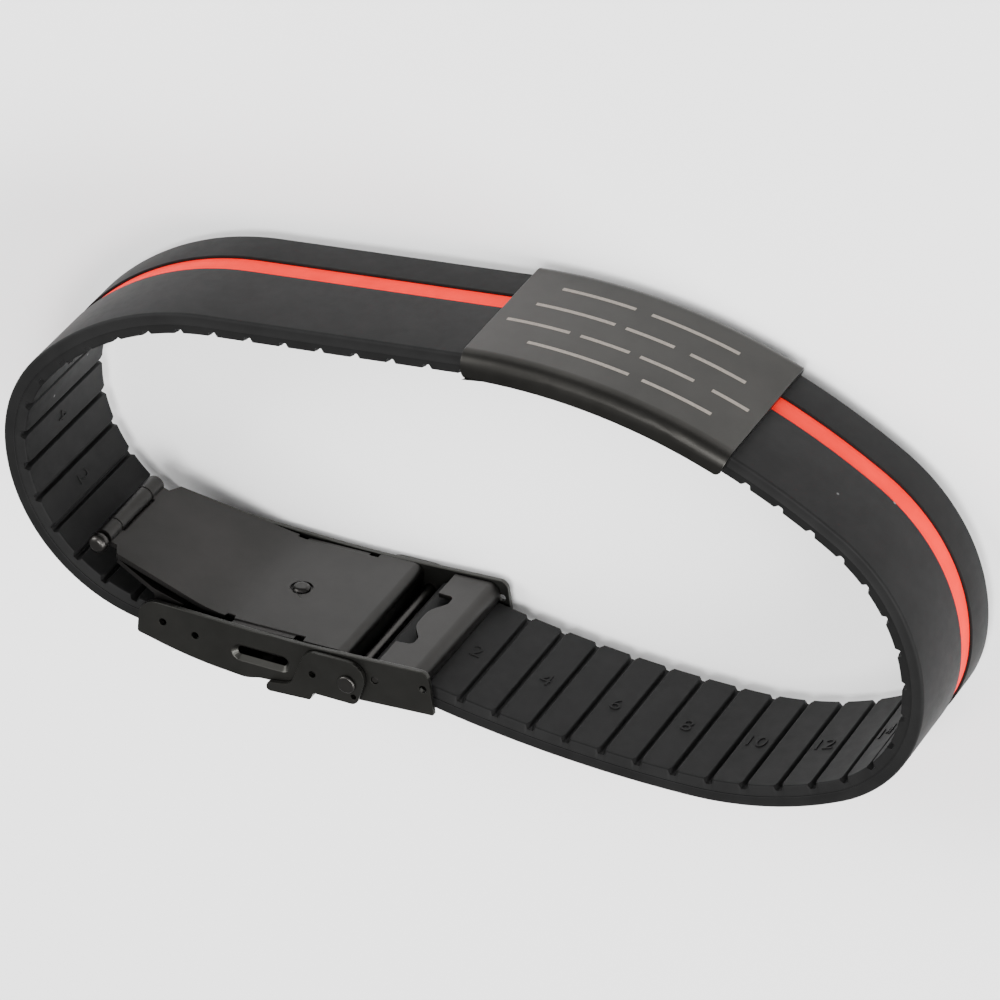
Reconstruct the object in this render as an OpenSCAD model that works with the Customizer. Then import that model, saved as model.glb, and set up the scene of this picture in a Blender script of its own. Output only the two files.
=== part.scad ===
// Medical alert bracelet: a ribbed silicone band with a steel name plate and a folding steel clasp.
// It lies on its side. The plate faces -Y, the clasp is at +Y, and the band's edges face up and down.
// Places in plan are counted from the point where the band's outer face leaves the clasp on its
// right, and heights from the band's lower edge.

/* [Band] */
// length of the band's free stretch round the wrist, along its outer face
loop_l = 195; // [180:1:215]
// width of the band
band_w = 16; // [14:0.5:18]
// thickness of the band without its ribs
band_t = 1.15; // [0.9:0.05:1.5]
// height of the ribs on the wrist side
rib_h = 1.05; // [0.6:0.05:1.2]
// distance from one rib groove to the next
rib_pitch = 3.63; // [3:0.01:5]
// width of a rib groove at the ribs' faces
groove_w = 0.85; // [0.5:0.05:1.2]
// depth of a rib groove
groove_d = 0.5; // [0.2:0.05:0.8]

/* [Stripe] */
// width of the inlaid stripe
stripe_w = 2.5; // [1:0.1:4]
// height of the stripe's middle above the band's lower edge
stripe_z = 5.5; // [4:0.1:10]
// how deep the stripe lies below the band's face
stripe_sink = 0.25; // [0.1:0.05:0.4]
// thickness of the stripe
stripe_t = 0.35; // [0.2:0.05:0.5]

/* [Name plate] */
// length of the plate along the band
plate_l = 26.5; // [20:0.5:34]
// thickness of the plate's sheet
plate_t = 0.75; // [0.5:0.05:1.2]
// radius of the plate's long shoulders
plate_r = 1.5; // [0.5:0.1:2]

/* [Clasp] */
// length of the clasp between the two places where the band leaves it
clasp_l = 29.9; // [28:0.1:34]
// thickness of the clasp's sheet metal
sheet_t = 0.5; // [0.4:0.05:0.6]
// gap between the band's edges and the cover's side walls, half of it on each side
side_gap = 0.45; // [0.4:0.05:0.8]
// diameter of the lever's axle
axle_d = 1.1; // [0.8:0.05:1.2]
// diameter of the lever axle's heads
axle_head_d = 1.8; // [1.5:0.1:2.2]
// diameter of the fold pin
fold_pin_d = 1; // [0.8:0.05:1.1]
// diameter of the spring bars
bar_d = 1.2; // [0.8:0.05:1.3]
// diameter of the spring bars' tips
bar_tip_d = 0.66; // [0.5:0.02:0.8]

/* [Hidden] */

$fn = 96;
pin_fn = 48;
bend_fn = 180;
corner_steps = 6;
edge_steps = 3;

// Colours
rubber_black = [0.12, 0.12, 0.125];
stripe_red = [0.85, 0.16, 0.13];
steel_black = [0.16, 0.15, 0.145];
steel_grey = [0.4, 0.39, 0.38];

// gap between pieces that lie against each other, and radial gap round a pin
fit_gap = 0.1;
pin_gap = 0.04;
// how far a cutter runs past the band, and past the clasp's sides
past = 1;
past_clasp = 4;

// Band's section
band_full_t = band_t + rib_h;
band_edge_r = 0.25;
rib_root_inset = 0.1;
rib_face_inset = 0.22;
stripe_gap = 0.05;
stripe_floor = stripe_sink + stripe_t + stripe_gap;
first_groove = 2.7;
// depth of the line that keeps its length when the band bends
neutral_depth = 1;
// a collar this much larger than the section, and this long, joins two sections into one solid
collar_grow = 0.01;
collar_l = 0.06;

// Band's ends, each wrapped round its spring bar
knuckle_wall = 0.59;
end_t = max(band_full_t, bar_d + 2 * knuckle_wall);
bar_depth = end_t / 2 - 0.02;
cover_tail_l = 5.4;
blade_tail_l = 2.8;
stripe_tail_l = 4;
bar_hole_d = bar_d + 2 * pin_gap;
tip_hole_d = bar_tip_d + 2 * pin_gap;

// Path of the band's outer face, anticlockwise seen from above, from the clasp's right exit
// round the wrist to its left exit. Columns: length of a section, the degrees it turns, and
// its name. The two closing sections take what is left, so that the path ends at the left exit.
LENGTH = 0;
TURN = 1;
NAME = 2;
// how much of the plate's bend in the band lies free before and after the plate
plate_before = 0.15;
plate_after = 0.65;
path_table = [
    // length, turn, name
    [0.135 * loop_l, 12, "right back"],
    [0.08 * loop_l, 26, "right rise"],
    [0.075 * loop_l, 61, "right bend"],
    [0.1 * loop_l, 60, "front bend"],
    [0.06 * loop_l, 10, "front run"],
    [plate_l + plate_before + plate_after, 28, "plate"],
    [0, 0, "front closing"],
    [0.105 * loop_l, 43, "left front"],
    [0, 43, "side closing"],
    [0.065 * loop_l, 43, "left bend"],
    [0.055 * loop_l, 37, "left back"]
];
last_section = len(path_table) - 1;
function section_named(name) = [for (i = [0 : last_section]) if (path_table[i][NAME] == name) i][0];
plate_section = section_named("plate");
front_closing = section_named("front closing");
side_closing = section_named("side closing");
start_heading = 172.75;
exit_rise = 1;
left_exit = [clasp_l, exit_rise];

// Vectors
function unit(v) = v / norm(v);
function left_of(v) = [-v.y, v.x];
function direction(a) = [cos(a), sin(a)];
function turned(v, a) = [v.x * cos(a) - v.y * sin(a), v.x * sin(a) + v.y * cos(a)];
function cross_of(u, v) = u.x * v.y - u.y * v.x;
function xy(row) = [row.x, row.y];
function backwards(rows) = [for (i = [len(rows) - 1 : -1 : 0]) rows[i]];

// Closed outline through rows of x, y and the radius that rounds the corner
function corner_arc(before, at, after, r, steps) =
    let (u = unit(before - at), v = unit(after - at), half = acos(u * v) / 2,
         middle = at + unit(u + v) * r / sin(half),
         first = at + u * r / tan(half) - middle,
         last = at + v * r / tan(half) - middle,
         turn = (atan2(last.y, last.x) - atan2(first.y, first.x) + 540) % 360 - 180)
    [for (k = [0 : steps]) middle + turned(first, turn * k / steps)];
function rounded(rows, steps = corner_steps) = let (n = len(rows))
    [for (i = [0 : n - 1])
        each rows[i][2] == 0 ? [xy(rows[i])]
            : corner_arc(xy(rows[(i + n - 1) % n]), xy(rows[i]), xy(rows[(i + 1) % n]), rows[i][2], steps)];

// Outline of a bent sheet that lies to the right of a path of rows of x, y and bend radius
function far_side(rows, t) = let (n = len(rows))
    [for (i = [0 : n - 1])
        let (at = xy(rows[i]),
             d1 = i > 0 ? unit(at - xy(rows[i - 1])) : unit(xy(rows[1]) - at),
             d2 = i < n - 1 ? unit(xy(rows[i + 1]) - at) : d1,
             n1 = left_of(d1), n2 = left_of(d2),
             side = at - t * (n1 + n2) / (1 + n1 * n2),
             grown = rows[i][2] + (cross_of(d1, d2) > 0 ? t : -t))
        [side.x, side.y, rows[i][2] == 0 ? 0 : grown]];
function bent_sheet(rows, t) = rounded(concat(rows, backwards(far_side(rows, t))));

// Sections of the band's path. A section is a chord's share of its length, in its mean direction.
function chord_share(turn) = turn == 0 ? 1 : sin(turn / 2) / (turn * PI / 360);
function heading(i) = i == 0 ? start_heading : heading(i - 1) + path_table[i - 1][TURN];
function step_of(i) = chord_share(path_table[i][TURN]) * direction(heading(i) + path_table[i][TURN] / 2);
function fixed_sum(i) = i < 0 ? [0, 0] : fixed_sum(i - 1) + path_table[i][LENGTH] * step_of(i);
open_gap = left_exit - fixed_sum(last_section);
front_step = step_of(front_closing);
side_step = step_of(side_closing);
front_l = cross_of(open_gap, side_step) / cross_of(front_step, side_step);
side_l = cross_of(front_step, open_gap) / cross_of(front_step, side_step);
lengths = [for (i = [0 : last_section])
    i == front_closing ? front_l : i == side_closing ? side_l : path_table[i][LENGTH]];
starts = [for (i = 0, p = [0, 0]; i <= last_section; p = p + lengths[i] * step_of(i), i = i + 1) p];
end_heading = heading(last_section) + path_table[last_section][TURN];
function radius(i) = lengths[i] / (path_table[i][TURN] * PI / 180);
function centre(i) = starts[i] + radius(i) * left_of(direction(heading(i)));

// Places along the band, counted on the line that keeps its length
function neutral_length(i) = lengths[i] - neutral_depth * path_table[i][TURN] * PI / 180;
neutral_starts = [for (i = 0, s = 0; i <= last_section; s = s + neutral_length(i), i = i + 1) s];
neutral_total = neutral_starts[last_section] + neutral_length(last_section);
function section_at(s, i = last_section) = i == 0 || s >= neutral_starts[i] ? i : section_at(s, i - 1);
function place_at(s) =
    let (i = section_at(s), part = (s - neutral_starts[i]) / neutral_length(i),
         turn = path_table[i][TURN] * part)
    concat(starts[i] + lengths[i] * part * chord_share(turn) * direction(heading(i) + turn / 2),
        heading(i) + turn);

// Places of the bars and pins
cover_tail = -cover_tail_l * direction(start_heading);
cover_bar_at = cover_tail + bar_depth * left_of(direction(start_heading));
blade_bar_at = left_exit + blade_tail_l * direction(end_heading) + bar_depth * left_of(direction(end_heading));
axle_at = [7.7, -0.95];
fold_at = [1.174 * clasp_l, -5.9];

// Cover: x, y and corner radius
cover_left = clasp_l - 0.1;
cover_outline = [
    [cover_left, 1.25, 0.3],
    [cover_left - 0.187 * clasp_l, 2.35, 45],
    [cover_left - 0.385 * clasp_l, 2.5, 3],
    [cover_left - 0.431 * clasp_l, 2.05, 3],
    [-1.05, -0.05, 0.2],
    [-0.05, -4.5, 0.9],
    [0.49 * clasp_l, -2.95, 120],
    [cover_left, -2.6, 2]
];
// the cover's outer sheet stops short of its side walls, where the band comes out
cover_sheet_right = 2.9;
cover_sheet_left = blade_bar_at.x - 0.15;
spare_holes = [[0.3, -2.6], [0.91 * clasp_l, -0.65], [0.796 * clasp_l, -0.3]];
snap_slot_at = [0.565 * clasp_l, -0.2];
snap_slot_l = 6.1;
snap_slot_w = 1.8;
// how much narrower the slot is at the wall's inner face, on each side
snap_slot_flank = 0.5;
snap_slot_tilt = 3;

// Safety lever's arms: x, y and corner radius
lever_outline = [
    [15.9, 2.2 + sheet_t, 0.4],
    [11.3, 1.7 + sheet_t, 0.3],
    [11.05, 1.35, 0.3],
    [6.6, 1.15, 0.8],
    [5.4, -3.55, 1.8],
    [12.2, -3.05, 1.4],
    [13.45, 1.2, 1.2],
    [15.9, 1.75, 0.45]
];
lever_plate_from = [11.25, 1.35];
lever_plate_room = [4.5, 3];
lever_hole_at = [11.3, -0.7];
lever_hole_d = 0.7;
lever_dot_at = [6.95, 0.3];
lever_dot_d = 0.55;

// Blades: x, y and bend radius along the wrist face, from the fold pin towards the lever's axle
hook_r = axle_d / 2 + 0.06;
hook_bend = hook_r - 0.02;
blade_left = fold_at.x - 2;
blade_y = -2.75;
blade_knee = [0.742 * clasp_l, blade_y + 0.2];
blade_heel = [axle_at.x + 0.85, blade_y - 0.8];
blade_tilt = atan((blade_knee.y - blade_heel.y) / (blade_knee.x - blade_heel.x));
function blade_face(x) = blade_heel.y + (x - blade_heel.x) * tan(blade_tilt);
long_blade_path = [
    [fold_at.x, fold_at.y - 0.14, 0],
    [blade_knee.x, blade_knee.y, 14],
    [blade_heel.x, blade_heel.y, 0.9],
    [axle_at.x + hook_r, axle_at.y + hook_r, hook_bend],
    [axle_at.x - hook_r, axle_at.y + hook_r, hook_bend],
    [axle_at.x - hook_r, axle_at.y, 0]
];
short_blade_path = [
    [blade_left, fold_at.y + 1.25, 0],
    [clasp_l - 1.6, blade_y - 0.5, 8],
    [blade_bar_at.x - 1.4, blade_y + 0.1, 0]
];
short_finger_path = [[fold_at.x, fold_at.y + 0.4, 0], [blade_left - 0.3, fold_at.y + 1.33, 0]];
// the ears that hold the short blade's spring bar
ear_foot = 1.8;
ear_outline = [
    [blade_bar_at.x + ear_foot, blade_y - 0.65, 0.2],
    [blade_bar_at.x + 1, blade_bar_at.y + 0.8, 0.9],
    [blade_bar_at.x - 0.95, blade_bar_at.y + 0.8, 0.9],
    [blade_bar_at.x - 1.3, blade_y + 0.35, 0.2]
];
ear_room = sheet_t + fit_gap;
ear_room_reach = ear_foot + 0.4;

// Fold: two knuckles of the long blade with the short blade's barrel between them
hinge_z = 0.56 * band_w;
barrel_half = 0.1875 * band_w;
finger_z = barrel_half + fit_gap;
finger_w = 0.144 * band_w;
knuckle_r = fold_pin_d / 2 + 0.4;
pin_end_z = finger_z + finger_w;
barrel_room = knuckle_r + 0.2;

// Edges of the blades seen from the wrist. Columns: x as a share of the clasp's length, and how
// far the lower and the upper edge lie inside the widest place, as shares of the band's width.
X = 0;
LOWER = 1;
UPPER = 2;
blade_gap = 0.08;
long_blade_w = band_w + 2 * (side_gap - blade_gap);
snap_x = [0.468 * clasp_l, 0.686 * clasp_l];
blade_side = (long_blade_w - band_w) / 2;
neck_lower = (hinge_z - pin_end_z + blade_side) / band_w;
neck_upper = (band_w - hinge_z - pin_end_z + blade_side) / band_w;
long_blade_edges = [
    // x, lower, upper
    [1.3, neck_lower, neck_upper],
    [1.126, neck_lower, neck_upper],
    [1.107, 0.157, 0.058],
    [0.903, 0.064, 0.048],
    [0.823, 0.025, 0.045],
    [0.717, 0.011, 0.045],
    [0.715, 0.039, 0.076],
    [0.687, 0.039, 0.076],
    [0.685, 0.039, 0.048],
    [0.436, 0.039, 0.048],
    [0.434, 0, 0],
    [0.1, 0, 0]
];
short_blade_edges = [
    // x, lower, upper
    [1.3, 0.14, 0.06],
    [1.107, 0.14, 0.06],
    [0.965, 0, 0],
    [0.1, 0, 0]
];

// Head of the fold pin
pin_head_z = pin_end_z + 0.6;
fold_head_d = fold_pin_d + 0.9;
fold_head_h = 0.9;

// Snap catch on the long blade: a small flange on either side, and a stud in a ring groove
snap_lip = 1.5;
snap_lip_t = 0.75;
snap_lip_hold = 0.2;
snap_lip_drop = 0.12;
stud_at = [0.574 * clasp_l, 0.508 * band_w];
stud_ring_d = 2.2;
stud_d = 1.7;
stud_ring_depth = 0.22;
stud_h = 0.25;

// Bridge plate under the band's right end: x, y and bend or corner radius
bridge_y = cover_bar_at.y - end_t / 2 - 2 * fit_gap - sheet_t;
bridge_w = band_w + 2 * side_gap - 2 * fit_gap;
bridge_lip_y = -1.02 * band_full_t - 0.12 - fit_gap;
bridge_path = [
    [cover_bar_at.x, bridge_y, 0],
    [0.65, bridge_y - 0.42, 1.1],
    [0.4, bridge_lip_y, 0]
];
bridge_ear_outline = [
    [cover_bar_at.x, bridge_y + 0.15, 0.1],
    [cover_bar_at.x + 0.85, cover_bar_at.y + 0.9, 0.8],
    [cover_bar_at.x - 1.1, cover_bar_at.y + 0.9, 0.8],
    [1.1, bridge_y - 0.15, 0.3]
];
// upper half of the cut in the bridge plate's left edge: x, share of the band's width, corner radius
lobe_rows = [
    [cover_bar_at.x + 0.2, 0.29, 0],
    [cover_bar_at.x - 1.65, 0.28, 0.5],
    [cover_bar_at.x - 1.65, 0.2, 0.35],
    [cover_bar_at.x - 0.45, 0.09, 2.5]
];
function lobe_half(sign) = [for (row = lobe_rows) [row.x, band_w * (0.5 + sign * row.y), row[2]]];
bridge_cut = concat(lobe_half(1), backwards(lobe_half(-1)));
bridge_edge = (bridge_w - band_w) / 2;
bridge_ear_room = sheet_t - bridge_edge + fit_gap;
bridge_room_reach = 2.9;

// Heights
wall_z = band_w + side_gap;
arm_z = wall_z + sheet_t + fit_gap;
axle_head_z = arm_z + sheet_t + fit_gap / 2;
axle_head_h = 0.28;
// the band's lower edge lies on the cover's lower wall, so the clasp's middle is a little higher
clasp_shift = side_gap - fit_gap;
lift = axle_head_z + axle_head_h - band_w - clasp_shift;

// Name plate's section: depth from the band's face, height and corner radius
lower_side_t = 0.55;
upper_side_t = 1.35;
lip_depth = 1.7;
lip_end_r = 0.8;
function rib_side(depth) = rib_root_inset + (rib_face_inset - rib_root_inset) * (depth - band_t) / rib_h;
function plate_side(side_t, shoulder_r) = [
    [band_t + fit_gap, -fit_gap, 0],
    [band_t + fit_gap, rib_root_inset - fit_gap, 0],
    [lip_depth, rib_side(lip_depth) - fit_gap, 0],
    [lip_depth, -fit_gap - side_t, 0.25],
    [-fit_gap - plate_t, -fit_gap - side_t, shoulder_r]
];
plate_rows = concat(
    [[-fit_gap, -fit_gap, 0.2]],
    plate_side(lower_side_t, 0.8 * plate_r),
    [for (row = backwards(plate_side(upper_side_t, plate_r))) [row.x, band_w - row.y, row[2]]],
    [[-fit_gap, band_w + fit_gap, 0.2]]);

// Middle of the whole in plan
outline_places = [for (s = [0 : neutral_total / 240 : neutral_total]) place_at(s)];
outline_x = [for (p = outline_places) p.x];
back_y = max([for (p = concat(rounded(cover_outline), rounded(lever_outline))) p.y]);
front_y = centre(plate_section).y - radius(plate_section) - fit_gap - plate_t;
plan_middle = [(min(outline_x) + max(outline_x)) / 2, (front_y + back_y) / 2];

module placed(shift = 0) {
    translate([-plan_middle.x, -plan_middle.y, lift + shift])
        children();
}

module both_sides(z) {
    translate([0, 0, z])
        children();
    translate([0, 0, band_w - z])
        mirror([0, 0, 1])
            children();
}

// an upright rod or bore at a place in plan
module upright(at, d, z0, z1) {
    translate([at.x, at.y, z0])
        cylinder(d = d, h = z1 - z0, $fn = pin_fn);
}

module bore_band(at, d) {
    upright(at, d, -past, band_w + past);
}

module bore_clasp(at, d) {
    upright(at, d, -past_clasp, band_w + past_clasp);
}

// Sections of the band are drawn with x as the depth from its outer face and y as the height.
// A straight stretch starts at a place and runs along a heading.
module straight(at, along, l) {
    translate([at.x, at.y, 0])
        rotate([0, 0, along])
            rotate([90, 0, 90])
                linear_extrude(l)
                    children();
}

module bend(i) {
    translate([centre(i).x, centre(i).y, 0])
        rotate([0, 0, heading(i) - 90])
            rotate_extrude(angle = path_table[i][TURN], $fn = bend_fn)
                translate([radius(i), 0])
                    mirror([1, 0])
                        children();
}

// the first child along the whole band, and the second as a hair-thin collar over each join
module sweep_band() {
    for (i = [0 : last_section]) {
        if (path_table[i][TURN] == 0)
            straight(starts[i], heading(i), lengths[i])
                children(0);
        else
            bend(i)
                children(0);
        straight(starts[i] - collar_l / 2 * direction(heading(i)), heading(i), collar_l)
            children(1);
    }
}

// the band's section, larger all round by grow
module band_section(grow = 0) {
    difference() {
        polygon(rounded([
            [-grow, -grow, band_edge_r],
            [band_t + grow, -grow, 0],
            [band_t + grow, rib_root_inset - grow, 0],
            [band_full_t + grow, rib_face_inset - grow, 0],
            [band_full_t + grow, band_w - rib_face_inset + grow, 0],
            [band_t + grow, band_w - rib_root_inset + grow, 0],
            [band_t + grow, band_w + grow, 0],
            [-grow, band_w + grow, band_edge_r]
        ], edge_steps));
        translate([-past, stripe_z - stripe_w / 2 - stripe_gap + grow])
            square([past + stripe_floor - grow, stripe_w + 2 * (stripe_gap - grow)]);
    }
}

module stripe_section(grow = 0) {
    translate([stripe_sink - grow, stripe_z - stripe_w / 2 - grow])
        square([stripe_t + 2 * grow, stripe_w + 2 * grow]);
}

module groove_cutter(place) {
    bottom = band_full_t - groove_d;
    mouth = band_full_t + past;
    translate([place.x, place.y, -past])
        rotate([0, 0, place[2] + 90])
            linear_extrude(band_w + 2 * past)
                polygon([
                    [bottom, -groove_w / 4],
                    [mouth, -groove_w / 2 - past / 2],
                    [mouth, groove_w / 2 + past / 2],
                    [bottom, groove_w / 4]
                ]);
}

module strap() {
    color(rubber_black)
        placed()
            difference() {
                union() {
                    sweep_band() {
                        band_section();
                        band_section(collar_grow);
                    }
                    straight(cover_tail, start_heading, cover_tail_l)
                        band_section();
                    straight(left_exit, end_heading, blade_tail_l)
                        band_section();
                    straight(left_exit - collar_l / 2 * direction(end_heading), end_heading, collar_l)
                        band_section(collar_grow);
                    upright(cover_bar_at, end_t, 0, band_w);
                    upright(blade_bar_at, end_t, 0, band_w);
                }
                for (s = [first_groove : rib_pitch : neutral_total])
                    groove_cutter(place_at(s));
                bore_band(cover_bar_at, bar_hole_d);
                bore_band(blade_bar_at, bar_hole_d);
                translate([0, 0, clasp_shift]) {
                    both_sides(-past)
                        translate([blade_bar_at.x - end_t, blade_bar_at.y - end_t, 0])
                            cube([end_t + ear_room_reach, 2 * end_t, past + ear_room]);
                    both_sides(-past)
                        translate([cover_bar_at.x - bridge_room_reach, cover_bar_at.y - end_t, 0])
                            cube([bridge_room_reach + end_t, 2 * end_t, past + bridge_ear_room]);
                }
            }
}

module stripe() {
    color(stripe_red)
        placed()
            union() {
                sweep_band() {
                    stripe_section();
                    stripe_section(collar_grow);
                }
                straight(-stripe_tail_l * direction(start_heading), start_heading, stripe_tail_l)
                    stripe_section();
            }
}

module id_plate() {
    angle = plate_l / radius(plate_section) * 180 / PI;
    inset = plate_before / radius(plate_section) * 180 / PI;
    color(steel_black)
        placed()
            translate([centre(plate_section).x, centre(plate_section).y, 0])
                rotate([0, 0, heading(plate_section) - 90 + inset])
                    difference() {
                        rotate_extrude(angle = angle, $fn = bend_fn)
                            translate([radius(plate_section), 0])
                                mirror([1, 0])
                                    polygon(rounded(plate_rows));
                        lip_end_cutter();
                        rotate([0, 0, angle])
                            mirror([0, 1, 0])
                                lip_end_cutter();
                    }
}

// rounds the wrist end of the plate's side walls at one end of the plate
module lip_end_cutter() {
    translate([radius(plate_section) - lip_depth, 0, -past_clasp])
        linear_extrude(band_w + 2 * past_clasp)
            difference() {
                translate([-past, -past])
                    square(past + lip_end_r);
                translate([lip_end_r, lip_end_r])
                    circle(lip_end_r, $fn = pin_fn);
            }
}

// the sheet that follows the outer side of an outline, within a window
module outer_sheet(outline, window_from, window) {
    intersection() {
        difference() {
            polygon(outline);
            translate([0, -sheet_t])
                polygon(outline);
        }
        translate(window_from)
            square(window);
    }
}

module clasp_cover() {
    outline = rounded(cover_outline);
    color(steel_black)
        placed(clasp_shift)
            difference() {
                union() {
                    both_sides(-side_gap - sheet_t)
                        linear_extrude(sheet_t)
                            polygon(outline);
                    translate([0, 0, -side_gap - sheet_t])
                        linear_extrude(band_w + 2 * side_gap + 2 * sheet_t)
                            outer_sheet(outline, [cover_sheet_right, -past],
                                [cover_sheet_left - cover_sheet_right, past_clasp]);
                }
                bore_clasp(axle_at, axle_d + 2 * pin_gap);
                for (at = concat([cover_bar_at], spare_holes))
                    bore_clasp(at, tip_hole_d);
                snap_slot();
            }
}

// the slot through both walls, with flanks that open outwards
module snap_slot() {
    inner_w = snap_slot_w - 2 * snap_slot_flank;
    translate([snap_slot_at.x, snap_slot_at.y, 0])
        rotate([0, 0, snap_slot_tilt]) {
            translate([0, 0, -past_clasp])
                slot_solid(inner_w, inner_w, band_w + 2 * past_clasp);
            both_sides(-side_gap)
                mirror([0, 0, 1])
                    slot_solid(inner_w, inner_w + 4 * snap_slot_flank, 2 * sheet_t);
        }
}

module slot_solid(w1, w2, h) {
    straight_l = snap_slot_l - snap_slot_w;
    for (x = [-1, 1])
        translate([x * straight_l / 2, 0, 0])
            cylinder(d1 = w1, d2 = w2, h = h, $fn = pin_fn);
    translate([-straight_l / 2, 0, 0])
        rotate([90, 0, 90])
            linear_extrude(straight_l)
                polygon([[-w1 / 2, 0], [w1 / 2, 0], [w2 / 2, h], [-w2 / 2, h]]);
}

module bridge_plate() {
    color(steel_grey)
        placed(clasp_shift)
            difference() {
                union() {
                    translate([0, 0, -bridge_edge])
                        linear_extrude(bridge_w)
                            polygon(bent_sheet(bridge_path, sheet_t));
                    both_sides(-bridge_edge)
                        linear_extrude(sheet_t)
                            polygon(rounded(bridge_ear_outline));
                }
                bore_clasp(cover_bar_at, tip_hole_d);
                translate([0, bridge_y + 2 * past, 0])
                    rotate([90, 0, 0])
                        linear_extrude(3 * past)
                            polygon(rounded(bridge_cut));
            }
}

// what lies between the lower and upper edges of a blade
module blade_window(edges, w) {
    lower = (band_w - w) / 2;
    upper = lower + w;
    translate([0, past_clasp, 0])
        rotate([90, 0, 0])
            linear_extrude(4 * past_clasp)
                polygon(concat(
                    [for (row = edges) [row[X] * clasp_l, lower + row[LOWER] * band_w]],
                    [for (row = backwards(edges)) [row[X] * clasp_l, upper - row[UPPER] * band_w]]));
}

module blade_sheet(path, edges, w) {
    intersection() {
        translate([0, 0, (band_w - w) / 2])
            linear_extrude(w)
                polygon(bent_sheet(path, sheet_t));
        blade_window(edges, w);
    }
}

module long_blade() {
    flange_inset = 0.039 * band_w - blade_side + snap_lip_hold - snap_lip_t;
    color(steel_grey)
        placed(clasp_shift)
            difference() {
                union() {
                    difference() {
                        blade_sheet(long_blade_path, long_blade_edges, long_blade_w);
                        // room for the short blade's barrel
                        translate([fold_at.x - barrel_room, fold_at.y - past, hinge_z - finger_z])
                            cube([past_clasp, past_clasp, 2 * finger_z]);
                    }
                    upright(fold_at, 2 * knuckle_r, hinge_z - pin_end_z, hinge_z - finger_z);
                    upright(fold_at, 2 * knuckle_r, hinge_z + finger_z, hinge_z + pin_end_z);
                    both_sides(flange_inset)
                        snap_flange();
                    on_blade_face(stud_at)
                        translate([0, 0, -stud_h])
                            head(stud_d, 2 * stud_h);
                }
                on_blade_face(stud_at)
                    translate([0, 0, -stud_ring_depth])
                        difference() {
                            cylinder(d = stud_ring_d, h = past, $fn = pin_fn);
                            translate([0, 0, -past])
                                cylinder(d = stud_d, h = 3 * past, $fn = pin_fn);
                        }
                bore_clasp(fold_at, fold_pin_d + 2 * pin_gap);
            }
}

// places a child on the long blade's wrist face, with its z axis away from the metal
module on_blade_face(at) {
    translate([at.x, blade_face(at.x), at.y])
        rotate([0, 0, blade_tilt])
            rotate([90, 0, 0])
                children();
}

module snap_flange() {
    translate([snap_x[0], blade_face(snap_x[0]) + snap_lip_drop, 0])
        rotate([0, 0, blade_tilt])
            cube([snap_x[1] - snap_x[0], snap_lip, snap_lip_t]);
}

module short_blade() {
    color(steel_grey)
        placed(clasp_shift)
            difference() {
                union() {
                    blade_sheet(short_blade_path, short_blade_edges, band_w);
                    translate([0, 0, hinge_z - barrel_half])
                        linear_extrude(2 * barrel_half)
                            polygon(bent_sheet(short_finger_path, sheet_t));
                    upright(fold_at, 2 * knuckle_r, hinge_z - barrel_half, hinge_z + barrel_half);
                    both_sides(0)
                        linear_extrude(sheet_t)
                            polygon(rounded(ear_outline));
                }
                bore_band(fold_at, fold_pin_d + 2 * pin_gap);
                bore_band(blade_bar_at, tip_hole_d);
            }
}

// a rod's head, or a stud: rounded at its far end
module head(d, h) {
    rotate_extrude($fn = pin_fn)
        polygon(rounded([[0, 0, 0], [d / 2, 0, 0], [d / 2, h, 0.7 * h], [0, h, 0]]));
}

module fold_pin() {
    color(steel_black)
        placed(clasp_shift)
            union() {
                upright(fold_at, fold_pin_d, hinge_z - pin_end_z, hinge_z + pin_head_z);
                translate([fold_at.x, fold_at.y, hinge_z + pin_head_z])
                    head(fold_head_d, fold_head_h);
            }
}

module lever_axle() {
    color(steel_black)
        placed(clasp_shift)
            union() {
                upright(axle_at, axle_d, band_w - axle_head_z, axle_head_z);
                both_sides(band_w - axle_head_z)
                    translate([axle_at.x, axle_at.y, 0])
                        mirror([0, 0, 1])
                            head(axle_head_d, axle_head_h);
            }
}

module spring_bar(at, shoulder_z, tip_z) {
    upright(at, bar_d, shoulder_z, band_w - shoulder_z);
    upright(at, bar_tip_d, tip_z, band_w - tip_z);
}

module cover_bar() {
    color(steel_grey)
        placed(clasp_shift)
            spring_bar(cover_bar_at, bridge_ear_room - fit_gap / 2, -side_gap - sheet_t + fit_gap);
}

module blade_bar() {
    color(steel_grey)
        placed(clasp_shift)
            spring_bar(blade_bar_at, ear_room, fit_gap);
}

module safety_lever() {
    outline = rounded(lever_outline);
    edge = arm_z + sheet_t - band_w;
    color(steel_black)
        placed(clasp_shift)
            difference() {
                union() {
                    both_sides(-edge)
                        linear_extrude(sheet_t)
                            polygon(outline);
                    translate([0, 0, -edge])
                        linear_extrude(band_w + 2 * edge)
                            outer_sheet(outline, lever_plate_from, lever_plate_room);
                }
                bore_clasp(axle_at, axle_d + 2 * pin_gap);
                bore_clasp(lever_hole_at, lever_hole_d);
                bore_clasp(lever_dot_at, lever_dot_d);
            }
}

strap();
stripe();
id_plate();
clasp_cover();
bridge_plate();
long_blade();
short_blade();
fold_pin();
lever_axle();
safety_lever();
cover_bar();
blade_bar();
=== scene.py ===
from math import acos, cos, pi, radians, sin, sqrt

import bmesh
import bpy
import numpy as np
from mathutils import Matrix, Vector


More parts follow.
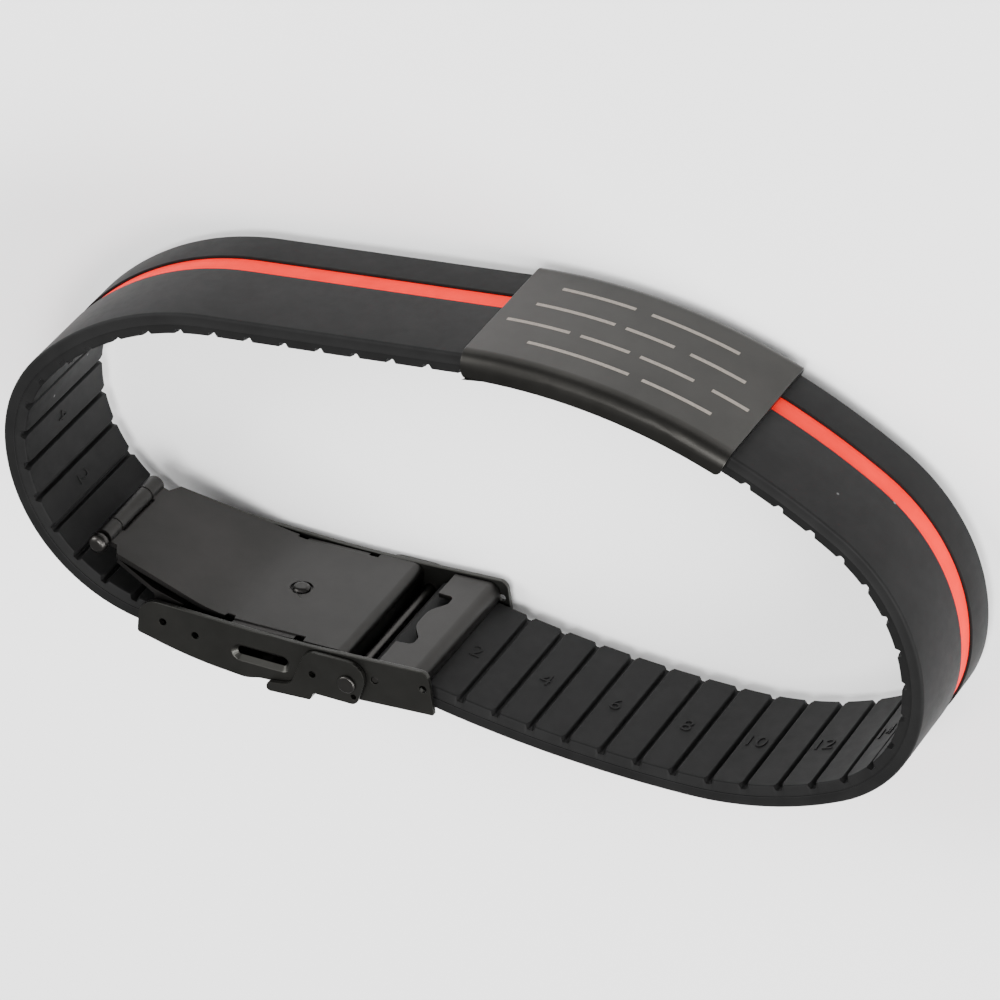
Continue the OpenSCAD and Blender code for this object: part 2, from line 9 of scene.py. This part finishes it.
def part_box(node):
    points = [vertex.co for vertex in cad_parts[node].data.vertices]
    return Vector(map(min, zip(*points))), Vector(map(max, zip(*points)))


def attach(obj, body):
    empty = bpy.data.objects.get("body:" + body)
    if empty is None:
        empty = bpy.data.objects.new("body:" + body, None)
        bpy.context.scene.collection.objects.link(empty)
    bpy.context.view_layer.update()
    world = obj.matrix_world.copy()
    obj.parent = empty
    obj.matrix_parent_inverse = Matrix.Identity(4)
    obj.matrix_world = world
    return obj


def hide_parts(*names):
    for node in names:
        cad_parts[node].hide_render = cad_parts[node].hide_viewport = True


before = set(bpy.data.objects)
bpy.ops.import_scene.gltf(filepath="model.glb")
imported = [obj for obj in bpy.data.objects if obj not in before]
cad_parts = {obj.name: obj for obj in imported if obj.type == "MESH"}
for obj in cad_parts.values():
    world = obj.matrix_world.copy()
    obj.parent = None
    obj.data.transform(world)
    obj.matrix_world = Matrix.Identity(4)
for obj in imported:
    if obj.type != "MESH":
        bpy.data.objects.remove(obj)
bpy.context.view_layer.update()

# Sizes in millimetres, the same as the solids' own. Meshes are made in metres at the end.
MM = 0.001
BAND_W = 16.0
BAND_T = 1.15
RIB_H = 1.05
FULL_T = BAND_T + RIB_H
RIB_PITCH = 3.63
FIRST_GROOVE = 2.7
GROOVE_D = 0.5
NEUTRAL_DEPTH = 1.0
STRIPE_W = 2.5
STRIPE_Z = 5.5
STRIPE_SINK = 0.25
STRIPE_T = 0.35
STRIPE_GAP = 0.05
STRIPE_TAIL = 4.0
PLATE_L = 26.5
PLATE_BEFORE = 0.15
PLATE_AFTER = 0.65
PLATE_T = 0.75
FIT_GAP = 0.1
CLASP_L = 29.9
EXIT_RISE = 1.0
LOOP_L = 195.0
COVER_TAIL = 5.4
BLADE_TAIL = 2.8
BAR_DEPTH = 1.17
KNUCKLE_R = 1.18
# What the ears of the blades and the bridge leave of the band's width at its ends
FOLD_END_Z = (0.97, 15.73)
COVER_END_Z = (0.62, 16.0)
COVER_END_FROM = -2.3

# Path of the band's outer face: length of a section, and the degrees it turns
START_HEADING = 172.75
PATH = [
    [0.135 * LOOP_L, 12],
    [0.08 * LOOP_L, 26],
    [0.075 * LOOP_L, 61],
    [0.1 * LOOP_L, 60],
    [0.06 * LOOP_L, 10],
    [PLATE_BEFORE + PLATE_L + PLATE_AFTER, 28],
    [0, 0],
    [0.105 * LOOP_L, 43],
    [0, 43],
    [0.065 * LOOP_L, 43],
    [0.055 * LOOP_L, 37],
]
PLATE_SECTION = 5
CLOSING = (6, 8)


def direction(angle):
    return np.array([cos(radians(angle)), sin(radians(angle))])


def left_of(v):
    return np.array([-v[1], v[0]])


def chord_share(turn):
    return sin(radians(turn / 2)) / radians(turn / 2) if turn else 1.0


class BandPath:
    """The band's outer face in plan, from the clasp's right exit round to its left exit."""

    def __init__(self):
        turns = [turn for _, turn in PATH]
        self.headings = [START_HEADING + sum(turns[:i]) for i in range(len(PATH) + 1)]
        steps = [chord_share(t) * direction(h + t / 2) for t, h in zip(turns, self.headings)]
        self.lengths = [length for length, _ in PATH]
        reached = sum(length * step for length, step in zip(self.lengths, steps))
        gap = np.array([CLASP_L, EXIT_RISE]) - reached
        closing = np.linalg.solve(np.array([steps[i] for i in CLOSING]).T, gap)
        for i, length in zip(CLOSING, closing):
            self.lengths[i] = length
        self.turns = turns
        self.starts = [np.zeros(2)]
        for length, step in zip(self.lengths, steps):
            self.starts.append(self.starts[-1] + length * step)
        neutral = [length - NEUTRAL_DEPTH * radians(t) for length, t in zip(self.lengths, turns)]
        self.marks = np.concatenate([[0], np.cumsum(neutral)])
        self.total = self.marks[-1]
        self.offset = np.zeros(2)

    def place(self, s):
        """Point on the outer face and heading, at a length counted on the neutral line."""
        if s < 0:
            return self.starts[0] + s * direction(START_HEADING), START_HEADING
        if s > self.total:
            return self.starts[-1] + (s - self.total) * direction(self.headings[-1]), self.headings[-1]
        i = min(int(np.searchsorted(self.marks, s, side="right")) - 1, len(PATH) - 1)
        part = (s - self.marks[i]) / (self.marks[i + 1] - self.marks[i])
        turn = self.turns[i] * part
        chord = self.lengths[i] * part * chord_share(turn) * direction(self.headings[i] + turn / 2)
        return self.starts[i] + chord, self.headings[i] + turn

    def points(self, s, rows):
        """Places in metres of rows of (depth from the outer face, height) at one length."""
        at, heading = self.place(s)
        inward = left_of(direction(heading))
        rows = np.asarray(rows, float)
        plan = at + rows[:, :1] * inward + self.offset
        return np.column_stack([plan, rows[:, 1] + LIFT]) * MM

    def plate_centre(self):
        radius = self.lengths[PLATE_SECTION] / radians(self.turns[PLATE_SECTION])
        inward = left_of(direction(self.headings[PLATE_SECTION]))
        return self.starts[PLATE_SECTION] + radius * inward, radius


# The band's own box in the frame gives the path's place and height
strap_low, strap_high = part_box("strap")
LIFT = strap_low.z / MM
path = BandPath()
outer = np.array([path.place(s)[0] for s in np.linspace(0, path.total, 4000)])
path.offset = np.array([
    (strap_low.x + strap_high.x) / 2 / MM - (outer[:, 0].min() + outer[:, 0].max()) / 2,
    strap_low.y / MM - outer[:, 1].min(),
])


# Mesh helpers

def add_object(name, mesh, material, body="root", smooth=True):
    piece = bpy.data.objects.new(name, mesh)
    bpy.context.scene.collection.objects.link(piece)
    mesh.materials.clear()
    mesh.materials.append(material)
    for polygon in mesh.polygons:
        polygon.use_smooth = smooth
    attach(piece, body)
    return piece


def swept_mesh(name, rings, closed_ends=True):
    """A tube through rings of equally many points, each ring closed on itself."""
    count = len(rings[0])
    vertices = np.concatenate(rings)
    faces = []
    for r in range(len(rings) - 1):
        for k in range(count):
            a, b = r * count + k, r * count + (k + 1) % count
            faces.append((a, b, b + count, a + count))
    if closed_ends:
        faces.append(tuple(range(count))[::-1])
        last = (len(rings) - 1) * count
        faces.append(tuple(range(last, last + count)))
    mesh = bpy.data.meshes.new(name)
    mesh.from_pydata(vertices.tolist(), [], faces)
    fix_normals(mesh)
    return mesh


def fix_normals(mesh):
    bm = bmesh.new()
    bm.from_mesh(mesh)
    bmesh.ops.recalc_face_normals(bm, faces=bm.faces)
    bm.to_mesh(mesh)
    bm.free()
    mesh.update()


def corner_points(before, at, after, r, steps):
    """Points of the arc that rounds a corner of a section."""
    before, at, after = (np.array(p, float) for p in (before, at, after))
    u = (before - at) / np.linalg.norm(before - at)
    v = (after - at) / np.linalg.norm(after - at)
    half = acos(float(u @ v)) / 2
    middle = at + (u + v) / np.linalg.norm(u + v) * r / sin(half)
    first = at + u * r * cos(half) / sin(half) - middle
    last = at + v * r * cos(half) / sin(half) - middle
    span = pi - 2 * half
    return [middle + (sin(span * (1 - k / steps)) * first + sin(span * k / steps) * last) / sin(span)
            for k in range(steps + 1)]


def rounded_section(rows, steps=4):
    """Closed section through rows of depth, height and corner radius."""
    points = []
    for i, (u, z, r) in enumerate(rows):
        if r == 0:
            points.append(np.array([u, z], float))
        else:
            points += corner_points(rows[i - 1][:2], (u, z), rows[(i + 1) % len(rows)][:2], r, steps)
    return points


# Materials

def new_material(name):
    material = bpy.data.materials.new(name)
    material.use_nodes = True
    tree = material.node_tree
    tree.nodes.clear()
    output = tree.nodes.new("ShaderNodeOutputMaterial")
    shader = tree.nodes.new("ShaderNodeBsdfPrincipled")
    tree.links.new(shader.outputs["BSDF"], output.inputs["Surface"])
    return material, tree, shader


def add_node(tree, kind, inputs=None, **settings):
    made = tree.nodes.new(kind)
    for key, value in settings.items():
        setattr(made, key, value)
    for key, value in (inputs or {}).items():
        if isinstance(value, bpy.types.NodeSocket):
            tree.links.new(value, made.inputs[key])
        else:
            made.inputs[key].default_value = value
    return made


def noise(tree, coordinates, scale, detail=4.0, roughness=0.6):
    made = add_node(tree, "ShaderNodeTexNoise",
                    {"Vector": coordinates, "Scale": scale, "Detail": detail, "Roughness": roughness})
    return made.outputs["Fac"]


def ramp(tree, factor, stops):
    made = add_node(tree, "ShaderNodeValToRGB", {"Fac": factor})
    elements = made.color_ramp.elements
    while len(elements) < len(stops):
        elements.new(0.5)
    for element, (position, colour) in zip(elements, stops):
        element.position = position
        element.color = (*colour, 1.0)
    return made.outputs["Color"]


def grey(value):
    return (value, value, value)


def remap(tree, factor, low, high):
    made = add_node(tree, "ShaderNodeMapRange", {"Value": factor, "To Min": low, "To Max": high})
    return made.outputs["Result"]


def bump(tree, height, strength, distance):
    made = add_node(tree, "ShaderNodeBump",
                    {"Height": height, "Strength": strength, "Distance": distance})
    return made.outputs["Normal"]


def object_coordinates(tree):
    return add_node(tree, "ShaderNodeTexCoord").outputs["Object"]


def dust_mask(tree, where, scale, amount):
    """White specks in the cells of a Voronoi pattern, only in some of them."""
    cells = add_node(tree, "ShaderNodeTexVoronoi", {"Vector": where, "Scale": scale})
    near = add_node(tree, "ShaderNodeMapRange",
                    {"Value": cells.outputs["Distance"], "From Min": 0.05, "From Max": 0.1,
                     "To Min": 1.0, "To Max": 0.0})
    chosen = add_node(tree, "ShaderNodeSeparateColor", {"Color": cells.outputs["Color"]})
    some = add_node(tree, "ShaderNodeMath", {0: chosen.outputs["Red"], 1: 1.0 - amount},
                    operation="GREATER_THAN")
    both = add_node(tree, "ShaderNodeMath", {0: near.outputs["Result"], 1: some.outputs["Value"]},
                    operation="MULTIPLY")
    return both.outputs["Value"]


def mix_colour(tree, factor, a, b):
    made = add_node(tree, "ShaderNodeMix", data_type="RGBA")
    for key, value in (("Factor", factor), ("A", a), ("B", b)):
        sockets = [s for s in made.inputs if s.name == key and s.enabled]
        if isinstance(value, bpy.types.NodeSocket):
            tree.links.new(value, sockets[0])
        else:
            sockets[0].default_value = (*value, 1.0)
    return [s for s in made.outputs if s.enabled][0]


def rubber(name, dark, light, dust, dust_colour, roughness, specular):
    """Moulded silicone: matte, slightly mottled, with fine grain and a few specks of dust."""
    material, tree, shader = new_material(name)
    where = object_coordinates(tree)
    mottle = ramp(tree, noise(tree, where, 260.0), [(0.35, dark), (0.7, light)])
    specks = dust_mask(tree, where, 520.0, dust)
    colour = mix_colour(tree, specks, mottle, dust_colour)
    tree.links.new(colour, shader.inputs["Base Color"])
    tree.links.new(remap(tree, noise(tree, where, 900.0), *roughness), shader.inputs["Roughness"])
    shader.inputs["Specular IOR Level"].default_value = specular
    tree.links.new(bump(tree, noise(tree, where, 6500.0, 2.0), 0.25, 0.00002), shader.inputs["Normal"])
    return material


def coated_steel(name, dark, light, roughness, grain=5200.0, grain_strength=0.12):
    """Satin steel with a dark coating: fine blasted grain and faint cloudy wear."""
    material, tree, shader = new_material(name)
    where = object_coordinates(tree)
    cloud = ramp(tree, noise(tree, where, 120.0, 6.0), [(0.3, dark), (0.75, light)])
    specks = dust_mask(tree, where, 760.0, 0.012)
    tree.links.new(mix_colour(tree, specks, cloud, grey(0.15)), shader.inputs["Base Color"])
    shader.inputs["Metallic"].default_value = 1.0
    tree.links.new(remap(tree, noise(tree, where, 700.0, 6.0), *roughness), shader.inputs["Roughness"])
    tree.links.new(bump(tree, noise(tree, where, grain, 3.0), grain_strength, 0.00001),
                   shader.inputs["Normal"])
    return material


def etched_line(name):
    """Bare steel where the coating is burnt off: pale, warm and matte."""
    material, tree, shader = new_material(name)
    where = object_coordinates(tree)
    tones = [(0.3, (0.15, 0.132, 0.113)), (0.7, (0.225, 0.198, 0.17))]
    tone = ramp(tree, noise(tree, where, 4000.0), tones)
    tree.links.new(tone, shader.inputs["Base Color"])
    shader.inputs["Metallic"].default_value = 0.4
    shader.inputs["Roughness"].default_value = 0.6
    return material


black_silicone = rubber("black_silicone", grey(0.0048), grey(0.0071), 0.03, grey(0.12), (0.52, 0.64), 0.105)
red_silicone = rubber("red_silicone", (0.82, 0.0072, 0.0036), (0.92, 0.0105, 0.0055), 0.003,
                      (0.9, 0.35, 0.3), (0.5, 0.6), 0.05)
dark_steel = coated_steel("dark_steel", (0.022, 0.0213, 0.0198), (0.031, 0.03, 0.028), (0.34, 0.44))
# The cover's and lever's steel is the same dark coating made lighter: painted light for their upward faces,
# which the lamps leave too dark.
clasp_steel_painted_light = coated_steel("clasp_steel_painted_light", (0.0285, 0.0283, 0.0262), (0.04, 0.0395, 0.0366), (0.34, 0.44))
blade_steel = coated_steel("blade_steel", (0.021, 0.0203, 0.0193), (0.029, 0.0275, 0.0265), (0.34, 0.44))
pin_steel = coated_steel("pin_steel", (0.032, 0.0305, 0.029), (0.046, 0.044, 0.042), (0.3, 0.38))
etched_steel = etched_line("etched_steel")


# Band: one mesh whose section changes along the ribs

# Insets of a rib's root and face from the band's edges
RIB_ROOT_INSET = 0.1
RIB_FACE_INSET = 0.22
# Half widths of a groove at its bottom and its mouth, and how it flares towards the band's edges
GROOVE_BOTTOM = 0.13
GROOVE_MOUTH = 0.3
GROOVE_FLARE = 0.25
FLARE_REACH = 0.55
# Height and half width of the parting line on the band's edges
SEAM_H = 0.03
SEAM_W = 0.05
# Corner radii of the band's section
EDGE_R = 0.3
RIB_ROOT_R = 0.03
RIB_FACE_R = 0.16
STRIPE_GROOVE_R = 0.07
# Insets from a rib's ends of the extra points where its grooves flare
FACE_POINTS = (0.12, 0.3, 0.6)
# A stretch of the section that is longer than this is a rib's face
FACE_LONGER_THAN = 5


def smooth_step(x):
    x = min(max(x, 0.0), 1.0)
    return x * x * (3 - 2 * x)


def band_outline():
    """Closed section of the band at a rib: depth, height and corner radius."""
    groove_low = STRIPE_Z - STRIPE_W / 2 - STRIPE_GAP
    groove_high = STRIPE_Z + STRIPE_W / 2 + STRIPE_GAP
    floor = STRIPE_SINK + STRIPE_T + STRIPE_GAP
    rows = [
        (0, 0, EDGE_R),
        (BAND_T - 2 * SEAM_W, 0, 0), (BAND_T - SEAM_W, -SEAM_H, 0), (BAND_T, 0, 0),
        (BAND_T, RIB_ROOT_INSET, RIB_ROOT_R),
        (FULL_T, RIB_FACE_INSET, RIB_FACE_R),
        (FULL_T, BAND_W - RIB_FACE_INSET, RIB_FACE_R),
        (BAND_T, BAND_W - RIB_ROOT_INSET, RIB_ROOT_R),
        (BAND_T, BAND_W, 0),
        (BAND_T - SEAM_W, BAND_W + SEAM_H, 0),
        (BAND_T - 2 * SEAM_W, BAND_W, 0),
        (0, BAND_W, EDGE_R),
        (0, groove_high, STRIPE_GROOVE_R),
        (floor, groove_high, 0), (floor, groove_low, 0),
        (0, groove_low, STRIPE_GROOVE_R),
    ]
    outline = rounded_section(rows)
    return refine_face(outline)


def refine_face(outline):
    """Adds points near the ribs' ends on their faces, where the grooves flare."""
    points = []
    for a, b in zip(outline, outline[1:] + outline[:1]):
        points.append(a)
        on_face = min(a[0], b[0]) > FULL_T - 0.01
        if on_face and abs(b[1] - a[1]) > FACE_LONGER_THAN:
            side = 1 if b[1] > a[1] else -1
            points += [a + np.array([0, side * d]) for d in FACE_POINTS]
            points += [b - np.array([0, side * d]) for d in reversed(FACE_POINTS)]
    return points


def groove_sink(t, z):
    """How far the rib's face lies below its full height, at a distance t from a groove's middle."""
    end = min(z, BAND_W - z) - RIB_FACE_INSET
    flare = GROOVE_FLARE * smooth_step(1 - end / FLARE_REACH)
    low, high = GROOVE_BOTTOM + 0.5 * flare, GROOVE_MOUTH + flare
    return GROOVE_D * smooth_step((high - abs(t)) / (high - low))


# Rings of the band's mesh, counted from a groove's middle: in the groove, and on the rib after it
GROOVE_STATIONS = (-0.62, -0.5, -0.4, -0.33, -0.28, -0.23, -0.18, -0.12, 0,
                   0.12, 0.18, 0.23, 0.28, 0.33, 0.4, 0.5, 0.62)
RIB_STATIONS = (1.2, 1.815, 2.43)
# Rings of the band's right end, before its first groove
END_STATIONS = (-COVER_TAIL, -4.0, COVER_END_FROM, -1.0)
# Distance from a groove that stands for a ring away from all grooves
NO_GROOVE = 9.0
# How far before its spring bar the band's left end is cut for the short blade's ears
EAR_REACH = KNUCKLE_R + 1.05
# Least length between that cut and the ring before it
EAR_CLEAR = 0.3
# Length along the band over which a cut in its width steps
CUT_STEP = 0.02
# Rings past a spring bar's middle, where the band's end is round
END_RINGS = (0.6, 0.95, 1.12)


def band_stations():
    """Lengths of the rings, each with its distance from the nearest groove."""
    grooves = np.arange(FIRST_GROOVE, path.total, RIB_PITCH)
    stations = [(s, NO_GROOVE) for s in END_STATIONS]
    for groove in grooves:
        stations += [(groove + t, t) for t in GROOVE_STATIONS]
        stations += [(groove + t, NO_GROOVE) for t in RIB_STATIONS]
    ear_from = path.total + BLADE_TAIL - EAR_REACH
    stations = [row for row in stations if row[0] < ear_from - EAR_CLEAR]
    return stations + [(ear_from, NO_GROOVE), (path.total + BLADE_TAIL, NO_GROOVE)], ear_from


def build_strap():
    outline = band_outline()
    stations, ear_from = band_stations()
    rings = []
    for d in reversed(END_RINGS):
        rings.append(end_ring(outline, -COVER_TAIL - d, d, COVER_END_Z))
    for s, t in stations:
        ring = outline
        if t != NO_GROOVE:
            ring = [(min(u, FULL_T - groove_sink(t, z)), z) for u, z in outline]
        if s < COVER_END_FROM:
            ring = squeezed(ring, COVER_END_Z)
        rings.append(path.points(s, ring))
        if s == COVER_END_FROM:
            rings[-1] = path.points(s - CUT_STEP, squeezed(ring, COVER_END_Z))
            rings.append(path.points(s, ring))
        if s == ear_from:
            rings.append(path.points(s + CUT_STEP, squeezed(ring, FOLD_END_Z)))
    rings[-1] = path.points(stations[-1][0], squeezed(outline, FOLD_END_Z))
    for d in END_RINGS:
        rings.append(end_ring(outline, path.total + BLADE_TAIL + d, d, FOLD_END_Z))
    mesh = swept_mesh("silicone_band", rings)
    mesh.set_sharp_from_angle(angle=radians(40))
    piece = add_object("silicone_band", mesh, black_silicone)
    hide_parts("strap")
    return piece


def squeezed(ring, limits):
    """The ring with its heights kept between two limits."""
    return [(u, min(max(z, limits[0]), limits[1])) for u, z in ring]


def end_ring(outline, s, beyond, limits):
    """A ring past a spring bar's middle, where the band's end is round."""
    half = sqrt(KNUCKLE_R ** 2 - beyond ** 2)
    ring = [(BAR_DEPTH + (u / FULL_T * 2 - 1) * half, z) for u, z in outline]
    return path.points(s, squeezed(ring, limits))


# Corner radius of the stripe, and the rings along it
STRIPE_R = 0.06
STRIPE_RINGS = 260


def build_stripe():
    low, high = STRIPE_Z - STRIPE_W / 2, STRIPE_Z + STRIPE_W / 2
    deep = STRIPE_SINK + STRIPE_T
    outline = rounded_section([
        (STRIPE_SINK, low, STRIPE_R), (deep, low, 0), (deep, high, 0), (STRIPE_SINK, high, STRIPE_R)])
    stations = np.linspace(-STRIPE_TAIL, path.total, STRIPE_RINGS)
    mesh = swept_mesh("red_stripe", [path.points(s, outline) for s in stations])
    mesh.set_sharp_from_angle(angle=radians(50))
    piece = add_object("red_stripe", mesh, red_silicone)
    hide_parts("stripe")


# Size numbers on every second rib, raised a little, counted from both ends
NUMBER_SIZE = 2.5
NUMBER_RISE = 0.1
NUMBER_THINNED = -0.02
NUMBER_MIDDLE = 8.4
# Each number with its rib, counted from the band's right end
LAST_NUMBERED_RIB = 47
RIGHT_NUMBERS = [(rib, str(rib + 3)) for rib in range(-1, 12, 2)]
LEFT_NUMBERS = [(LAST_NUMBERED_RIB - 2 * k, str(2 + 2 * k)) for k in range(4)]


def number_mesh(text):
    """Flat numerals, thickened, as a mesh in millimetres, centred on their box."""
    curve = bpy.data.curves.new("numeral", "FONT")
    curve.body = text
    curve.size = NUMBER_SIZE
    curve.extrude = NUMBER_RISE
    curve.offset = NUMBER_THINNED
    curve.resolution_u = 4
    holder = bpy.data.objects.new("numeral", curve)
    bpy.context.scene.collection.objects.link(holder)
    bpy.context.view_layer.update()
    mesh = bpy.data.meshes.new_from_object(holder.evaluated_get(bpy.context.evaluated_depsgraph_get()))
    bpy.data.objects.remove(holder)
    points = np.array([v.co for v in mesh.vertices])
    middle = (points.min(0) + points.max(0)) / 2
    return mesh, points - middle


def build_numbers():
    bm = bmesh.new()
    for rib, text in RIGHT_NUMBERS + LEFT_NUMBERS:
        mesh, points = number_mesh(text)
        middle = FIRST_GROOVE + (rib + 0.5) * RIB_PITCH
        for vertex, (x, y, z) in zip(mesh.vertices, points):
            vertex.co = path.points(middle + x, [(FULL_T + z, NUMBER_MIDDLE - y)])[0]
        bm.from_mesh(mesh)
        bpy.data.meshes.remove(mesh)
    mesh = bpy.data.meshes.new("size_numbers")
    bmesh.ops.remove_doubles(bm, verts=bm.verts, dist=1e-7)
    bmesh.ops.recalc_face_normals(bm, faces=bm.faces)
    bm.to_mesh(mesh)
    bm.free()
    piece = add_object("size_numbers", mesh, black_silicone, smooth=False)


# Clasp and plate: the solids' own shapes with softened edges

# Corners of the solids' meshes this close to each other become one
MERGE = 0.035
# Faces that meet at less than this angle are shaded as one
SMOOTH_ANGLE = 30
# Widths of the rounding on the edges of sheets, blades and round parts
SHEET_EDGE = 0.08
BLADE_EDGE = 0.07
PIN_EDGE = 0.03


def softened(node, name, width, material, body="root", segments=2, angle=28):
    """A copy of a node's mesh with its sharp edges rounded, which stands for the node."""
    bm = bmesh.new()
    bm.from_mesh(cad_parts[node].data)
    bmesh.ops.remove_doubles(bm, verts=bm.verts, dist=MERGE * MM)
    bmesh.ops.dissolve_limit(bm, angle_limit=radians(1.0), verts=bm.verts, edges=bm.edges)
    sharp = [e for e in bm.edges if len(e.link_faces) == 2 and e.calc_face_angle(0) > radians(angle)]
    made = bmesh.ops.bevel(bm, geom=sharp, offset=width * MM, offset_type="OFFSET", segments=segments,
                           profile=0.6, affect="EDGES", clamp_overlap=False)
    bm.normal_update()
    bm.faces.index_update()
    normals = face_normals(bm, {f.index for f in made["faces"]})
    mesh = bpy.data.meshes.new(name)
    bm.to_mesh(mesh)
    bm.free()
    piece = add_object(name, mesh, material, body)
    mesh.normals_split_custom_set(normals)
    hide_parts(node)
    return piece


def face_normals(bm, rounding):
    """A normal for each corner: flat on the solid's own faces, and blended over the rounded edges."""
    limit = cos(radians(SMOOTH_ANGLE))
    areas = {face: face.calc_area() for face in bm.faces}
    normals = []
    for face in bm.faces:
        flat = face.index not in rounding and is_flat(face, areas, rounding, limit)
        for loop in face.loops:
            around = loop.vert.link_faces
            own = [f for f in around if f.index not in rounding]
            if flat:
                own = [face]
            elif face.index not in rounding:
                own = [f for f in own if f.normal.dot(face.normal) > limit]
            total = Vector((0, 0, 0))
            for f in own or around:
                total += f.normal * areas[f]
            normals.append(total.normalized() if total.length > 1e-6 else face.normal.copy())
    return normals


def is_flat(face, areas, rounding, limit):
    """Whether a face is so large beside the faces that it bends into that it keeps its own normal."""
    around = {f for vert in face.verts for f in vert.link_faces if f.index not in rounding}
    near = [f for f in around if limit < f.normal.dot(face.normal) < 0.99999]
    return all(3 * areas[f] < areas[face] for f in near)


def build_metal():
    softened("id_plate", "name_plate", SHEET_EDGE, dark_steel)
    softened("clasp_cover", "cover", SHEET_EDGE, clasp_steel_painted_light)
    softened("bridge_plate", "bridge", SHEET_EDGE, blade_steel)
    softened("long_blade", "upper_blade", BLADE_EDGE, blade_steel)
    softened("short_blade", "lower_blade", BLADE_EDGE, blade_steel)
    softened("safety_lever", "flip_lever", SHEET_EDGE, clasp_steel_painted_light, body="lever")
    softened("fold_pin", "hinge_pin", PIN_EDGE, pin_steel)
    softened("lever_axle", "axle_rod", PIN_EDGE, pin_steel)
    softened("cover_bar", "end_bar", PIN_EDGE, pin_steel)
    softened("blade_bar", "fold_bar", PIN_EDGE, pin_steel)


# Etched lines on the plate: for each row its height and the spans along the plate that are etched
LINE_H = 0.45
LINE_RISE = 0.012
LINE_SINK = 0.02
LINE_STEPS = 16
ETCHED_ROWS = [
    # height above the band's lower edge, (start, end) shares of the plate's length
    (3.2, [(0.20, 0.53), (0.59, 0.86)]),
    (6.6, [(0.12, 0.33), (0.39, 0.57), (0.61, 0.90)]),
    (10.0, [(0.05, 0.19), (0.26, 0.46), (0.50, 0.68), (0.72, 0.95)]),
    (13.2, [(0.14, 0.40), (0.45, 0.82)]),
]


def build_etched_lines():
    centre, radius = path.plate_centre()
    outer_r = radius + FIT_GAP + PLATE_T
    turn = np.degrees(PLATE_L / radius)
    first = path.headings[PLATE_SECTION] - 90 + np.degrees(PLATE_BEFORE / radius)
    bm = bmesh.new()
    for height, spans in ETCHED_ROWS:
        for start, end in spans:
            add_line(bm, centre + path.offset, outer_r, first + turn * start, first + turn * end, height)
    mesh = bpy.data.meshes.new("etched_lines")
    bmesh.ops.recalc_face_normals(bm, faces=bm.faces)
    bm.to_mesh(mesh)
    bm.free()
    piece = add_object("etched_lines", mesh, etched_steel, smooth=False)


def add_line(bm, centre, outer_r, first, last, height):
    """A thin raised bar that follows the plate's face."""
    low, high = -LINE_H / 2, LINE_H / 2
    section = [(-LINE_SINK, low), (LINE_RISE, low), (LINE_RISE, high), (-LINE_SINK, high)]
    rings = []
    for angle in np.linspace(first, last, LINE_STEPS):
        ring = []
        for out, up in section:
            at = centre + (outer_r + out) * direction(angle)
            ring.append(bm.verts.new(Vector((at[0], at[1], height + up + LIFT)) * MM))
        rings.append(ring)
    for a, b in zip(rings, rings[1:]):
        for k in range(4):
            bm.faces.new((a[k], a[(k + 1) % 4], b[(k + 1) % 4], b[k]))
    bm.faces.new(rings[0])
    bm.faces.new(rings[-1])


# Camera: the photograph's viewing angle, worked out from the band's edges and grooves
CAMERA_AT = Vector((-0.21076, -0.363579, LIFT * MM + 0.517437))
CAMERA_RIGHT = Vector((-0.903919, -0.06942, -0.422033))
CAMERA_DOWN = Vector((-0.285929, 0.831913, 0.475568))
FOCAL_PX = 7175.34
SENSOR = 36.0
IMAGE_PX = 1000.0


def build_camera():
    data = bpy.data.cameras.new("camera")
    data.sensor_width = SENSOR
    data.lens = FOCAL_PX / IMAGE_PX * SENSOR
    data.clip_start = 0.05
    data.clip_end = 20.0
    camera = bpy.data.objects.new("camera", data)
    bpy.context.scene.collection.objects.link(camera)
    back = -CAMERA_RIGHT.cross(CAMERA_DOWN)
    turn = Matrix((CAMERA_RIGHT, -CAMERA_DOWN, back)).transposed()
    camera.matrix_world = Matrix.Translation(CAMERA_AT) @ turn.to_4x4()
    bpy.context.scene.camera = camera


def build_floor(half=3.0):
    mesh = bpy.data.meshes.new("floor")
    mesh.from_pydata([(-half, -half, 0), (half, -half, 0), (half, half, 0), (-half, half, 0)], [],
                     [(0, 1, 2, 3)])
    floor = bpy.data.objects.new("floor", mesh)
    bpy.context.scene.collection.objects.link(floor)
    material, tree, shader = new_material("floor_white")
    shader.inputs["Base Color"].default_value = (0.86, 0.86, 0.86, 1.0)
    shader.inputs["Roughness"].default_value = 0.8
    shader.inputs["Specular IOR Level"].default_value = 0.2
    mesh.materials.append(material)


def area_light(name, at, aim, size, power, colour=(1, 1, 1)):
    data = bpy.data.lights.new(name, "AREA")
    data.shape = "RECTANGLE"
    data.size, data.size_y = size
    data.energy = power
    data.color = colour
    lamp = bpy.data.objects.new(name, data)
    bpy.context.scene.collection.objects.link(lamp)
    lamp.location = at
    lamp.rotation_euler = (Vector(aim) - Vector(at)).to_track_quat("-Z", "Y").to_euler()


def build_lights():
    world = bpy.data.worlds.new("studio")
    bpy.context.scene.world = world
    world.use_nodes = True
    world.node_tree.nodes["Background"].inputs["Color"].default_value = (1, 1, 1, 1)
    world.node_tree.nodes["Background"].inputs["Strength"].default_value = 0.6
    aim = (0, -0.03, 0)
    area_light("left", (-1.1, 0.1, 0.8), aim, (0.7, 0.7), 30.0)
    area_light("right", (1.0, -0.5, 0.8), aim, (0.7, 0.7), 22.0)
    area_light("top", (-0.25, -0.2, 1.4), aim, (0.6, 0.6), 30.0)


build_camera()
build_lights()
build_floor()
build_strap()
build_stripe()
build_numbers()
build_metal()
build_etched_lines()
